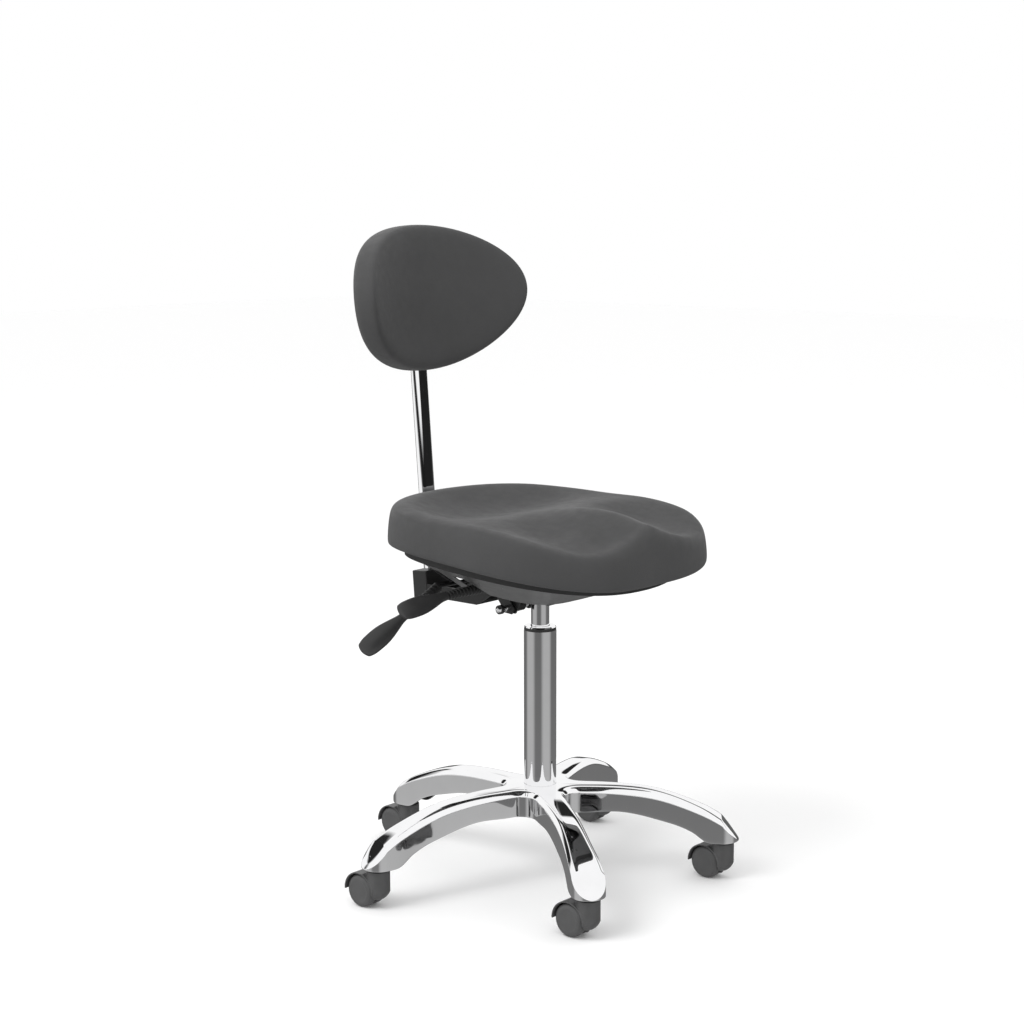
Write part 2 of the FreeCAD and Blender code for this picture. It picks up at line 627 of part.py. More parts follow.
def make_back_arm():
    """A channel from the pivot to the holder, run low so that it clears the tray."""
    steel = size("steel")
    half = size("arm_half_width")
    under = size("arm_under")
    rear = size("post_y") - 38
    floor = Part.makeBox(2 * half, rear - 104, steel, Vector(-half, 104, under))
    shape = floor
    pivot = Vector(0, size("recline_y"), size("recline_z"))
    for side in (-1, 1):
        x = half - steel if side > 0 else -half
        flank = Part.makePolygon([
            Vector(x, pivot.y - 9, pivot.z - 9), Vector(x, 104, under), Vector(x, rear, under),
            Vector(x, rear, under + 20), Vector(x, 150, under + 20), Vector(x, pivot.y + 12, pivot.z + 12),
            Vector(x, pivot.y - 9, pivot.z + 9), Vector(x, pivot.y - 9, pivot.z - 9)])
        shape = shape.fuse(Part.Face(flank).extrude(X_AXIS * steel))
    hole = pin_shape(size("axle_radius") + size("running_gap"), 200, pivot, X_AXIS)
    holder = holder_block(-size("post_down") - size("holder_floor"))
    holder.Placement = lean_frame().multiply(holder.Placement)
    return shaped("back_arm", shape.cut([hole, holder]).removeSplitter())


make_housing()
make_tilt_axle()
make_seat_plate()
make_back_arm()


# ---------------------------------------------------------------- levers

def sleeve_corners(folds, pitch):
    """A ribbed sleeve about Z: thick at its root, thin at its tip, with a hole for the rod."""
    root = size("sleeve_root")
    tip = size("sleeve_tip")
    corners = [("lever_rod_radius", "0")]
    for i in range(folds):
        radius = root + (tip - root) * i / folds
        start = pitch * i
        corners.append((f"{radius}", f"{start}"))
        corners.append((f"{radius}", f"{start + pitch * 0.6}"))
        corners.append((f"{radius - 1.3}", f"{start + pitch * 0.7}"))
        corners.append((f"{radius - 1.3}", f"{start + pitch * 0.9}"))
    corners.append((f"{tip}", f"{pitch * folds}"))
    corners.append(("lever_rod_radius", f"{pitch * folds}"))
    return corners


def paddle_shape():
    """A leaf-shaped paddle along +Z with a blunt end, flat across X, with a socket for its rod."""
    length = size("paddle_length")
    half = size("paddle_width") / 2
    neck = size("sleeve_tip")
    edge = [Vector(-neck, 0, 0), Vector(-neck - 1, 0, 10), Vector(-half + 1, 0, 44),
            Vector(-half, 0, 70), Vector(-half + 5, 0, length - 5), Vector(0, 0, length)]
    side = Part.BSplineCurve()
    side.interpolate(edge)
    other = Part.BSplineCurve()
    other.interpolate([Vector(-p.x, 0, p.z) for p in reversed(edge)])
    close = Part.LineSegment(Vector(neck, 0, 0), Vector(-neck, 0, 0)).toShape()
    face = Part.Face(Part.Wire([side.toShape(), other.toShape(), close]))
    thick = size("paddle_thick")
    blade = face.extrude(Y_AXIS * thick)
    blade.translate(Vector(0, -thick / 2, 0))
    root = Part.makeCone(neck, thick / 2, 30)
    return blade.fuse(root).cut(Part.makeCylinder(size("lever_rod_radius"), 22)).removeSplitter()


def make_front_lever():
    """The height lever: rod, sleeve and paddle in line, and a tongue over the release button."""
    y = size("front_lever_y")
    z = size("lever_z")
    start = size("sleeve_start")
    reach = start + size("sleeve_length") + 20
    rod = Part.makeCylinder(size("lever_rod_radius"), reach - 26, Vector(-26, y, z), X_AXIS * -1)
    top = size("lift_top") + size("button_height") + 0.3
    block = Part.makeBox(9, 10, top + 3 - z + 4, Vector(-28, y - 5, z - 4))
    tongue = Part.makeBox(32, y + 10, 3, Vector(-28, -5, top))
    pin = lever_pivot(y, size("front_slot_half") + size("steel"), size("lever_pin_radius"))
    shaped("front_lever_rod", rod.fuse([block, tongue, pin]).removeSplitter())
    outward = Rotation(Y_AXIS, -90)
    folds = 13
    sleeve = turned("front_sleeve_body", sleeve_corners(folds, size("sleeve_length") / folds))
    placed(sleeve, "-sleeve_start", "front_lever_y", "lever_z", outward)
    finished(sleeve, "front_lever_sleeve")
    twist = Rotation(Z_AXIS, size("paddle_pitch"))
    spot = Vector(-start - size("sleeve_length") - 0.7, y, z)
    fallen = Rotation(Y_AXIS, -90 - size("front_paddle_drop"))
    paddle = paddle_shape()
    paddle.Placement = Placement(spot, fallen.multiply(twist))
    shaped("front_lever_paddle", paddle.cut(rod))


def make_rear_lever():
    """The tilt lever: its rod bends down outside the seat, then carries sleeve and paddle."""
    y = size("rear_lever_y")
    z = size("lever_z")
    bend = size("rear_bend_x")
    radius = size("lever_rod_radius")
    drop = size("rear_drop")
    down = Rotation(Y_AXIS, -90 - drop)
    along = down.multVec(Z_AXIS)
    corner = Vector(-bend, y, z)
    inner = Part.makeCylinder(radius, bend - 24, Vector(-24, y, z), X_AXIS * -1)
    knuckle = Part.makeSphere(radius, corner)
    outer = Part.makeCylinder(radius, 98, corner, along)
    pin = lever_pivot(y, size("rear_slot_half") + size("steel"), size("lever_pin_radius"))
    shaped("rear_lever_rod", inner.fuse([knuckle, outer, pin]).removeSplitter())
    folds = 11
    sleeve = turned("rear_sleeve_body", sleeve_corners(folds, 7))
    sleeve.Placement = Placement(corner + along * 2, down)
    finished(sleeve, "rear_lever_sleeve")
    twist = Rotation(Z_AXIS, size("paddle_pitch"))
    spot = corner + along * (2 + 7 * folds)
    shaped("rear_lever_paddle", paddle_shape(), Placement(spot, down.multiply(twist)))


make_front_lever()
make_rear_lever()


# ---------------------------------------------------------------- seat

def seat_outline(scale, height):
    """The seat's plan, a rounded square that is a little wider behind, at one height."""
    points = []
    count = 24
    front = size("seat_front")
    rear = size("seat_rear")
    middle = (front + rear) / 2 - 18
    for i in range(count):
        turn = 2 * math.pi * i / count
        ahead = math.cos(turn)
        depth = middle - front if ahead > 0 else rear - middle
        squareness = 2.35 if ahead > 0 else 2.6
        reach = (abs(math.sin(turn)) ** squareness + abs(ahead) ** squareness) ** (-1 / squareness)
        x = size("seat_half_width") * reach * math.sin(turn) * scale
        y = middle - depth * reach * ahead * scale
        points.append(Vector(x, y, height))
    return points


def seat_prism(scale, low, high, top_scale=None):
    wires = [spline_wire(seat_outline(scale, low)),
             spline_wire(seat_outline(top_scale or scale, high))]
    return Part.makeLoft(wires, True)


def dish_rise(x):
    """How far the seat shell's underside has risen, x away from its middle."""
    return size("seat_dish") * (x / 200) ** 2


def above_dish(low):
    """The space above the seat shell's curve, whose lowest line is at low."""
    radius = 200 ** 2 / (2 * size("seat_dish"))
    return Part.makeCylinder(radius, 600, Vector(0, -300, low + radius), Y_AXIS)


def make_seat():
    frame = seat_frame()
    board_thick = size("board_thick")
    board = seat_prism(size("board_scale"), -board_thick - 1, 30)
    board = board.common(above_dish(-board_thick)).cut(above_dish(0))
    bolts = [Part.makeCylinder(3.2, 10, Vector(x, y, -board_thick)) for x, y in BOLT_SPOTS]
    tray_bores = [Part.makeCylinder(1.8, 8 + dish_rise(x), Vector(x, y, -board_thick))
                  for x, y in SCREW_SPOTS]
    shaped("seat_board", board.cut(bolts + tray_bores), frame)
    thick = size("seat_thick")
    rim = size("seat_rim_scale")
    wires = [spline_wire(seat_outline(1, 0)), spline_wire(seat_outline(0.992, thick * 0.35)),
             spline_wire(seat_outline(0.975, thick * 0.75)), spline_wire(seat_outline(rim * 0.97, thick))]
    pad = Part.makeLoft(wires, True)
    ridge = Part.makeSphere(1)
    stretch = FreeCAD.Matrix()
    stretch.scale(Vector(58, 104, size("pommel_high") + 22))
    ridge = ridge.transformGeometry(stretch)
    ridge.translate(Vector(0, size("seat_front") + 122, thick - 22))
    pad = pad.fuse(ridge).common(above_dish(0))
    shaped("seat_cushion", pad, frame)
    plate_under = -board_thick - size("steel")
    heads = []
    for x, y in BOLT_SPOTS:
        shank = Part.makeCylinder(3, 9.5 + size("steel"), Vector(x, y, plate_under - 0.05))
        head = Part.makeCylinder(6.5, 4.5, Vector(x, y, plate_under - 4.5))
        heads.append(shank.fuse(head))
    shaped("seat_bolts", Part.makeCompound(heads), frame)


def rounded_rim(half_x, front, rear, height, shrink=0.0):
    """The tray's lower rim: a rounded rectangle with as many points as the seat's outline."""
    points = []
    count = 24
    middle = (front + rear) / 2
    half_y = (rear - front) / 2 - shrink
    for i in range(count):
        turn = 2 * math.pi * i / count
        reach = (abs(math.sin(turn)) ** 4 + abs(math.cos(turn)) ** 4) ** -0.25
        points.append(Vector((half_x - shrink) * reach * math.sin(turn),
                             middle - half_y * reach * math.cos(turn), height))
    return points


def tray_loft(inset, low, high):
    """The bowl's outer or inner form, cut off under the board's dished underside."""
    top = spline_wire(seat_outline(size("tray_scale") - inset / size("seat_half_width"), 0))
    bottom = spline_wire(rounded_rim(size("tray_half_x"), size("tray_front"), size("tray_rear"),
                                     low, inset))
    return Part.makeLoft([bottom, top], True).cut(above_dish(high))


SCREW_SPOTS = ((0, -149), (160, -20), (-160, -20), (130, 104), (-130, 104), (0, 152))


def make_tray():
    """A shallow bowl screwed under the board, open below round the mechanism and the levers."""
    wall = size("tray_wall")
    top = -size("board_thick")
    low = top - size("tray_depth")
    shell = tray_loft(0, low, top)
    shell = shell.cut(tray_loft(wall * 1.4, low - 1, top - wall))
    shell = shell.cut(seat_prism(size("tray_scale") - size("tray_flange"), top - wall - 1, top + 20))
    half = size("notch_half")
    for y in (size("front_lever_y"), size("rear_lever_y")):
        start = Vector(-190, y - size("notch_ahead") - half, low - 1)
        shell = shell.cut(Part.makeBox(120, 2 * half, size("tray_depth") + 1 - size("notch_top"), start))
    bores = [Part.makeCylinder(2.2, 30, Vector(x, y, top - 6)) for x, y in SCREW_SPOTS]
    shaped("under_tray", shell.cut(bores), seat_frame())
    screws = []
    for x, y in SCREW_SPOTS:
        under = top - wall + dish_rise(max(abs(x) - 4, 0)) - 0.05
        head = Part.makeCylinder(4, 2, Vector(x, y, under - 2))
        shank = Part.makeCylinder(1.75, 6 + wall, Vector(x, y, under - 0.05))
        screws.append(head.fuse(shank))
    shaped("tray_screws", Part.makeCompound(screws), seat_frame())


make_seat()
make_tray()


# ---------------------------------------------------------------- backrest

def back_oval(inset):
    """A wide oval prism along Y, seen from the front, with its edge moved in by inset."""
    wide = size("back_half_width") - inset
    high = size("back_half_height") - inset
    points = []
    count = 32
    for i in range(count):
        turn = 2 * math.pi * i / count
        z = high * math.sin(turn)
        x = wide * math.cos(turn) * (1 + 0.06 * math.sin(turn))
        points.append(Vector(x, -200, z + size("back_centre")))
    return Part.Face(spline_wire(points)).extrude(Y_AXIS * 400)


def curved_slab(front, thick):
    """The space between two upright cylinders of one radius, front and thick behind the post."""
    radius = size("back_curve")
    near = Part.makeCylinder(radius, 300, Vector(0, front - radius, -30))
    far = Part.makeCylinder(radius, 300, Vector(0, front + thick - radius, -30))
    half_space = Part.makeBox(600, 600, 300, Vector(-300, front - 130, -30))
    return far.cut(near).common(half_space)


def make_backrest():
    frame = lean_frame()
    front = size("back_front")
    thick = size("back_thick")
    skin = size("back_skin")
    rim = size("back_rim")
    board_thick = size("back_board_thick")
    deep = size("post_deep")
    wide = size("post_wide")
    solid = back_oval(0).common(curved_slab(front, thick))
    room = back_oval(rim).common(curved_slab(front + skin, thick))
    slot = Part.makeBox(wide + 8, deep + 9, 60, Vector(-wide / 2 - 4, -deep / 2 - 4.5, -25))
    shaped("back_cushion", solid.cut([room, slot]).removeSplitter(), frame)
    board = back_oval(rim + 0.3).common(curved_slab(front + skin, board_thick))
    screws_at = [(x, size("back_centre") + z) for x in (-32, 32) for z in (-30, 30)]
    board = board.cut([pin_shape(2.2, 80, Vector(x, 0, z), Y_AXIS) for x, z in screws_at])
    shaped("back_board", board, frame)
    cover_thick = 3.0
    cover = back_oval(rim + 0.3).common(curved_slab(front + thick - cover_thick, cover_thick))
    shaped("back_rear_cover", cover.cut(slot), frame)
    plate_front = front + skin + board_thick + 0.2
    centre = size("back_centre")
    gap = size("running_gap")
    plate = Part.makeBox(84, 3, 80, Vector(-42, plate_front, centre - 40))
    sleeve = Part.makeBox(42, -plate_front + deep / 2 + 3, 56, Vector(-21, plate_front, centre - 28))
    bracket = plate.fuse(sleeve).cut(flat_oval(wide + 2 * gap, deep + 2 * gap, 0, 240))
    bracket = bracket.cut([pin_shape(2.2, 80, Vector(x, 0, z), Y_AXIS) for x, z in screws_at])
    shaped("back_bracket", bracket.removeSplitter(), frame)
    screws = []
    for x, z in screws_at:
        shank = Part.makeCylinder(2, 8, Vector(x, plate_front - 5, z), Y_AXIS)
        head = Part.makeCylinder(4, 2.4, Vector(x, plate_front + 3, z), Y_AXIS)
        screws.append(shank.fuse(head))
    shaped("back_screws", Part.makeCompound(screws), frame)


def make_post():
    frame = lean_frame()
    low = -size("post_down")
    wide = size("post_wide")
    deep = size("post_deep")
    wall = size("post_wall")
    tube = flat_oval(wide, deep, low, size("post_up"))
    tube = tube.cut(flat_oval(wide - 2 * wall, deep - 2 * wall, low - 1, size("post_up") - wall))
    shaped("back_post", tube, frame)
    box = holder_block(low - size("holder_floor"))
    box = box.makeChamfer(1.2, box.Edges)
    shaped("post_holder", box.cut(flat_oval(wide, deep, low, 0)).removeSplitter(), frame)


make_post()
make_backrest()


# ---------------------------------------------------------------- check and export

def export_parts():
    doc.recompute()
    for item in doc.Objects:
        if "Invalid" in item.State or "Error" in item.State:
            raise RuntimeError(f"{item.Name} did not compute: {item.State}")
    labels = [item.Label for item in nodes]
    if len(set(labels)) != len(labels) or len(labels) > 60:
        raise RuntimeError("node names repeat or are too many")
    os.makedirs("parts", exist_ok=True)
    for item in nodes:
        if item.Shape.isNull() or not item.Shape.isValid():
            raise RuntimeError(f"{item.Label} has no sound shape")
        item.Shape.exportStep(f"parts/{item.Label}.step")
    print(len(nodes), "parts written")


export_parts()
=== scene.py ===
"""Looks of the caster stool: upholstery, polished base, casters, tray and levers round its frame.

Lengths in this script are in millimetres, in the frame's axes, until a mesh is made in metres.
+Z is up, the stool faces -Y, and the origin is on the floor under the column.
"""
import json
import math

import bmesh
import bpy
import numpy as np
from mathutils import Matrix, Vector


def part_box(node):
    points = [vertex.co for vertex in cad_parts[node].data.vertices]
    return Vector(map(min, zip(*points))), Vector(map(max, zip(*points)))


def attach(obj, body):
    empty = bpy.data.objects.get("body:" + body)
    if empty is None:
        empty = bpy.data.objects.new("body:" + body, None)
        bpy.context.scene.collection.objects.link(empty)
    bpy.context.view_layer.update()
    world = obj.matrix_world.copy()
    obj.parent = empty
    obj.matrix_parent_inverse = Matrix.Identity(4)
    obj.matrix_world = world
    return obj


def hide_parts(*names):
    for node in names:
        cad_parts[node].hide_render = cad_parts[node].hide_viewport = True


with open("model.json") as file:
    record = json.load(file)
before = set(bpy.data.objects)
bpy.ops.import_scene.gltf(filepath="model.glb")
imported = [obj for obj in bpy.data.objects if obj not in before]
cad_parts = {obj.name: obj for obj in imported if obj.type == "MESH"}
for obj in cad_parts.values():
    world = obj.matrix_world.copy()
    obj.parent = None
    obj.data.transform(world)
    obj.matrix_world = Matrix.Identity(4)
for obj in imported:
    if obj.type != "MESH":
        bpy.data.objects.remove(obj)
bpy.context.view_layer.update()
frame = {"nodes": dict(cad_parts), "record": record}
nodes = frame["nodes"]
MM = 0.001


def span(node):
    """A CAD node's lowest and highest corner, in millimetres."""
    low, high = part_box(node)
    return low / MM, high / MM


# ---------------------------------------------------------------- materials

def new_material(name):
    made = bpy.data.materials.new(name)
    made.use_nodes = True
    tree = made.node_tree
    tree.nodes.clear()
    output = tree.nodes.new("ShaderNodeOutputMaterial")
    shader = tree.nodes.new("ShaderNodeBsdfPrincipled")
    tree.links.new(shader.outputs[0], output.inputs[0])
    return made, tree, shader


def noise(tree, scale, detail=3.0, roughness=0.55, stretch=(1, 1, 1)):
    """Noise in the object's own coordinates: scale counts lumps in a metre."""
    place = tree.nodes.new("ShaderNodeTexCoord")
    mapping = tree.nodes.new("ShaderNodeMapping")
    mapping.inputs["Scale"].default_value = stretch
    made = tree.nodes.new("ShaderNodeTexNoise")
    made.inputs["Scale"].default_value = scale
    made.inputs["Detail"].default_value = detail
    made.inputs["Roughness"].default_value = roughness
    tree.links.new(place.outputs["Object"], mapping.inputs[0])
    tree.links.new(mapping.outputs[0], made.inputs["Vector"])
    return made


def mapped(tree, source, low, high, start=0.3, end=0.7):
    """A source's range from start to end, turned into a range from low to high."""
    made = tree.nodes.new("ShaderNodeMapRange")
    made.inputs["From Min"].default_value = start
    made.inputs["From Max"].default_value = end
    made.inputs["To Min"].default_value = low
    made.inputs["To Max"].default_value = high
    tree.links.new(source, made.inputs["Value"])
    return made.outputs[0]


def two_tones(tree, shader, source, dark, light, start=0.35, end=0.65):
    ramp = tree.nodes.new("ShaderNodeValToRGB")
    ramp.color_ramp.elements[0].position = start
    ramp.color_ramp.elements[1].position = end
    ramp.color_ramp.elements[0].color = (*dark, 1)
    ramp.color_ramp.elements[1].color = (*light, 1)
    tree.links.new(source, ramp.inputs[0])
    tree.links.new(ramp.outputs[0], shader.inputs["Base Color"])


def bumped(tree, shader, height, strength, depth, after=None):
    """Adds a bump of depth metres to the shader, on top of an earlier bump if one is given."""
    bump = tree.nodes.new("ShaderNodeBump")
    bump.inputs["Strength"].default_value = strength
    bump.inputs["Distance"].default_value = depth
    tree.links.new(height, bump.inputs["Height"])
    if after:
        tree.links.new(after.outputs[0], bump.inputs["Normal"])
    tree.links.new(bump.outputs[0], shader.inputs["Normal"])
    return bump


def grey(level, tint=0.0):
    return (level, level, level * (1 + tint))


def leatherette():
    """Dark grey leatherette: pebble grain, hair-fine creases and a slow change of tone."""
    made, tree, shader = new_material("leatherette_dark_grey")
    slow = noise(tree, 9, 2)
    two_tones(tree, shader, slow.outputs[0], grey(0.0445, 0.015), grey(0.0490, 0.015))
    pebbles = tree.nodes.new("ShaderNodeTexVoronoi")
    pebbles.feature = "SMOOTH_F1"
    pebbles.inputs["Scale"].default_value = 620
    pebbles.inputs["Smoothness"].default_value = 0.6
    place = tree.nodes.new("ShaderNodeTexCoord")
    tree.links.new(place.outputs["Object"], pebbles.inputs["Vector"])
    fine = noise(tree, 1500, 2)
    first = bumped(tree, shader, pebbles.outputs["Distance"], 0.28, 0.0004)
    bumped(tree, shader, fine.outputs[0], 0.18, 0.0002, first)
    patches = noise(tree, 60, 3)
    tree.links.new(mapped(tree, patches.outputs[0], 0.50, 0.62), shader.inputs["Roughness"])
    shader.inputs["Specular IOR Level"].default_value = 0.36
    shader.inputs["Sheen Weight"].default_value = 0.06
    shader.inputs["Sheen Roughness"].default_value = 0.45
    return made


def polished(name, level, rough, waves=0.0):
    """Mirror metal with a trace of polishing haze, and the faint ripple of a casting."""
    made, tree, shader = new_material(name)
    haze = noise(tree, 26, 4)
    two_tones(tree, shader, haze.outputs[0], grey(level - 0.015, 0.008), grey(level + 0.01, 0.008))
    tree.links.new(mapped(tree, haze.outputs[0], rough * 0.6, rough * 1.5), shader.inputs["Roughness"])
    shader.inputs["Metallic"].default_value = 1.0
    if waves:
        ripple = noise(tree, 30, 1)
        bumped(tree, shader, ripple.outputs[0], waves, 0.0006)
    return made


def moulded(name, level, rough, grain=900, depth=0.00012, strength=0.25, specular=0.5, tint=0.01):
    """Moulded plastic, rubber or powder coat: spark-eroded grain, uneven gloss, slow tone."""
    made, tree, shader = new_material(name)
    slow = noise(tree, 35, 3)
    two_tones(tree, shader, slow.outputs[0], grey(level * 0.94, tint), grey(level * 1.06, tint))
    texture = noise(tree, grain, 3)
    bumped(tree, shader, texture.outputs[0], strength, depth)
    tree.links.new(mapped(tree, slow.outputs[0], rough - 0.05, rough + 0.05), shader.inputs["Roughness"])
    shader.inputs["Specular IOR Level"].default_value = specular
    return made


def zinc():
    """Bright zinc plate: spangled tone and a fine directionless scratch."""
    made, tree, shader = new_material("zinc_plate")
    spangle = noise(tree, 180, 2)
    two_tones(tree, shader, spangle.outputs[0], grey(0.52, 0.03), grey(0.62, 0.03))
    tree.links.new(mapped(tree, spangle.outputs[0], 0.26, 0.38), shader.inputs["Roughness"])
    fine = noise(tree, 1400, 2)
    bumped(tree, shader, fine.outputs[0], 0.12, 0.0001)
    shader.inputs["Metallic"].default_value = 1.0
    return made


def stained_board():
    """Black-stained plywood: long grain and thin darker plies at its edge."""
    made, tree, shader = new_material("stained_plywood")
    grain = noise(tree, 60, 5, 0.6, (1, 14, 1))
    plies = tree.nodes.new("ShaderNodeTexWave")
    plies.bands_direction = "Z"
    plies.inputs["Scale"].default_value = 110
    plies.inputs["Distortion"].default_value = 0.6
    place = tree.nodes.new("ShaderNodeTexCoord")
    tree.links.new(place.outputs["Object"], plies.inputs["Vector"])
    two_tones(tree, shader, grain.outputs[0], grey(0.012), grey(0.019))
    bumped(tree, shader, plies.outputs["Fac"], 0.10, 0.0002)
    tree.links.new(mapped(tree, grain.outputs[0], 0.5, 0.7), shader.inputs["Roughness"])
    return made


LOOKS = {
    "polished_aluminium": polished("polished_casting", 0.93, 0.035, 0.04),
    "chrome": polished("chrome_plate", 0.93, 0.02),
    "caster_plastic": moulded("caster_nylon", 0.070, 0.34, specular=0.45),
    "wheel_plastic": moulded("wheel_nylon", 0.072, 0.36, specular=0.45),
    "zinc_steel": zinc(),
    "black_plastic": moulded("black_plastic", 0.020, 0.38),
    "black_rubber": moulded("ribbed_rubber", 0.016, 0.40, 500, 0.0002, 0.35, 0.5),
    "black_steel": moulded("black_powder_coat", 0.012, 0.36, 1300, 0.00012, 0.4, 0.5),
    "grey_tray": moulded("tray_plastic", 0.060, 0.32, 700, 0.0001, 0.2, 0.6),
    "plywood": stained_board(),
    "upholstery": leatherette(),
}
# Near-black for the caster stems: the stem's own dark washer, made darker still as painted shade for the
# shadowed gap between the star's foot and the hood.
STEM_RING_AND_GAP_SHADE = moulded("caster_ring_and_painted_gap_shade", 0.006, 0.4)
PADDLE = moulded("paddle_plastic", 0.024, 0.36)

for part in frame["record"]["subparts"]:
    node = nodes[part["node"]]
    look = LOOKS[part["material_slot"]]
    # The stems take the near-black ring colour, which is partly painted shade for the gap under the foot.
    if part["node"].endswith("_stem"):
        look = STEM_RING_AND_GAP_SHADE
    node.data.materials.clear()
    node.data.materials.append(look)


# ---------------------------------------------------------------- mesh helpers

WELD = 0.00002  # metres; closer points become one

def mesh_piece(name, points, faces, slot, body, stands_for, look=None):
    """A mesh from points in millimetres that takes a slot's finish and rides on a body."""
    data = bpy.data.meshes.new(name)
    data.from_pydata([tuple(np.asarray(p, float) * MM) for p in points], [], faces)
    data.validate()
    made = bmesh.new()
    made.from_mesh(data)
    bmesh.ops.remove_doubles(made, verts=made.verts, dist=WELD)
    bmesh.ops.recalc_face_normals(made, faces=made.faces)
    made.to_mesh(data)
    made.free()
    for face in data.polygons:
        face.use_smooth = True
    data.materials.append(look or LOOKS[slot])
    piece = bpy.data.objects.new(name, data)
    bpy.context.scene.collection.objects.link(piece)
    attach(piece, body)
    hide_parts(*stands_for)
    return piece


def subdivide(piece, levels):
    modifier = piece.modifiers.new("subdivision", "SUBSURF")
    modifier.levels = levels
    modifier.render_levels = levels


def strip(first, second, closed=True):
    """Faces between two rows of point numbers of the same length."""
    count = len(first)
    last = count if closed else count - 1
    return [(first[i], first[(i + 1) % count], second[(i + 1) % count], second[i])
            for i in range(last)]


class Shell:
    """Gathers points and faces row by row."""

    def __init__(self):
        self.points = []
        self.faces = []

    def row(self, points):
        start = len(self.points)
        self.points.extend(points)
        return list(range(start, start + len(points)))

    def rings(self, rows):
        numbers = [self.row(points) for points in rows]
        for first, second in zip(numbers, numbers[1:]):
            self.faces += strip(first, second)
        return numbers

    def cap(self, ring, centre):
        middle = self.row([centre])[0]
        count = len(ring)
        self.faces += [(ring[i], ring[(i + 1) % count], middle) for i in range(count)]


def smooth_curve(places, heights):
    """A smooth function through a few points, with level ends where the points level off."""
    places = np.array(places, float)
    heights = np.array(heights, float)
    slopes = np.gradient(heights, places)

    def at(x):
        x = np.clip(x, places[0], places[-1])
        i = np.clip(np.searchsorted(places, x) - 1, 0, len(places) - 2)
        wide = places[i + 1] - places[i]
        t = (x - places[i]) / wide
        start = (2 * t ** 3 - 3 * t ** 2 + 1) * heights[i] + (t ** 3 - 2 * t ** 2 + t) * wide * slopes[i]
        end = (3 * t ** 2 - 2 * t ** 3) * heights[i + 1] + (t ** 3 - t ** 2) * wide * slopes[i + 1]
        return start + end

    return at


def lathe(shell, profile, centre, axis, count=64):
    """Adds a turned surface: profile holds (radius, distance along axis) pairs from centre."""
    along = Vector(axis).normalized()
    side = along.orthogonal().normalized()
    across = along.cross(side)
    rows = []
    for radius, distance in profile:
        row = []
        for i in range(count):
            turn = 2 * math.pi * i / count
            arm = (side * math.cos(turn) + across * math.sin(turn)) * radius
            row.append(Vector(centre) + along * distance + arm)
        rows.append(row)
    return shell.rings(rows)


# ---------------------------------------------------------------- base star

star_low, star_high = span("base_star")
stem_low, stem_high = span("caster_1_stem")
FOOT_UNDER = star_low.z
CIRCLE = (stem_low.y + stem_high.y) / 2   # radius of the circle the casters stand on
FOOT = star_high.y - CIRCLE               # radius of an arm's round tip
ARM_ANGLES = [90 - 72 * i for i in range(5)]
SECTOR = math.radians(36)
HALF_HUB = 23.0                           # half width of an arm where it leaves the hub
FILLET = 24.0                             # radius of the corner between two arms
WALL = 5.0
ROOF = 12.0                               # the inside of an arm's top lies this far under the crown
TUBE = 24.9                               # radius of the hub's hole for the stand tube
HUB_ROOM = 33.0                           # radius of the hub's wall inside the casting
HUB_FOOT = 99.0
BOSS = 11.5
STEM_BORE = 5.8
BOSS_GAP = 5.0                            # the boss ends this far under the crown

arm_half = smooth_curve([60, 150, 225, CIRCLE - 22, CIRCLE], [HALF_HUB, 20.5, 21.3, FOOT - 1.2, FOOT])
FACET = 280          # where the crown turns into the foot's flat facet
FACET_SLOPE = 1.21
ridge = smooth_curve([0, 60, 98, 122, 185, 230, 262, FACET],
                     [148, 148, 148, 147.3, 139.5, 124.5, 110, 98.9])
belly = smooth_curve([0, 72, 125, 185, 225, 244, 250, 256, 262, 310],
                     [108, 108, 109.5, 97, 84, 73.5, 67.5, 63.6, 63, 63])


def crown(along):
    """Height of an arm's top: curved out to the foot, where a flat facet slopes down to the tip."""
    return float(ridge(along)) - FACET_SLOPE * max(0.0, along - FACET)


def turned_by(angle, along, across, height):
    turn = math.radians(angle)
    return Vector((along * math.cos(turn) - across * math.sin(turn),
                   along * math.sin(turn) + across * math.cos(turn), height))


FLANK = np.concatenate([np.linspace((HALF_HUB + FILLET) / math.tan(SECTOR), 268, 22),
                        [274, FACET - 2, FACET - 0.6, FACET + 0.6, CIRCLE]])
TIP = np.linspace(90, 0, 9)[1:]
CORNER = np.linspace(0, 1, 11)[1:-1]
ACROSS = np.linspace(-1, 1, 9)[1:-1]

# Steps of the rounded edge between an arm's side and its top: (moved in, below the crown).
BEVEL = [(0, 9.4), (0, 8.0), (0.2, 7.0), (0.8, 6.2), (4.4, 2.6), (5.2, 1.95), (6.2, 1.35), (7.4, 0.9),
         (9.0, 0.5), (10.6, 0.22), (12.2, 0.1)]
LID_STEPS = (0.2, 0.4, 0.6, 0.8, 0.93, 1.0)


def arm_rows(inset):
    """(along, half width) of each row of an arm, from the hub to the tip, edges moved in."""
    rows = [(a, float(arm_half(a)) - inset) for a in FLANK]
    for turn in TIP:
        t = math.radians(turn)
        rows.append((CIRCLE + (FOOT - inset) * math.cos(t), (FOOT - inset) * math.sin(t)))
    return rows


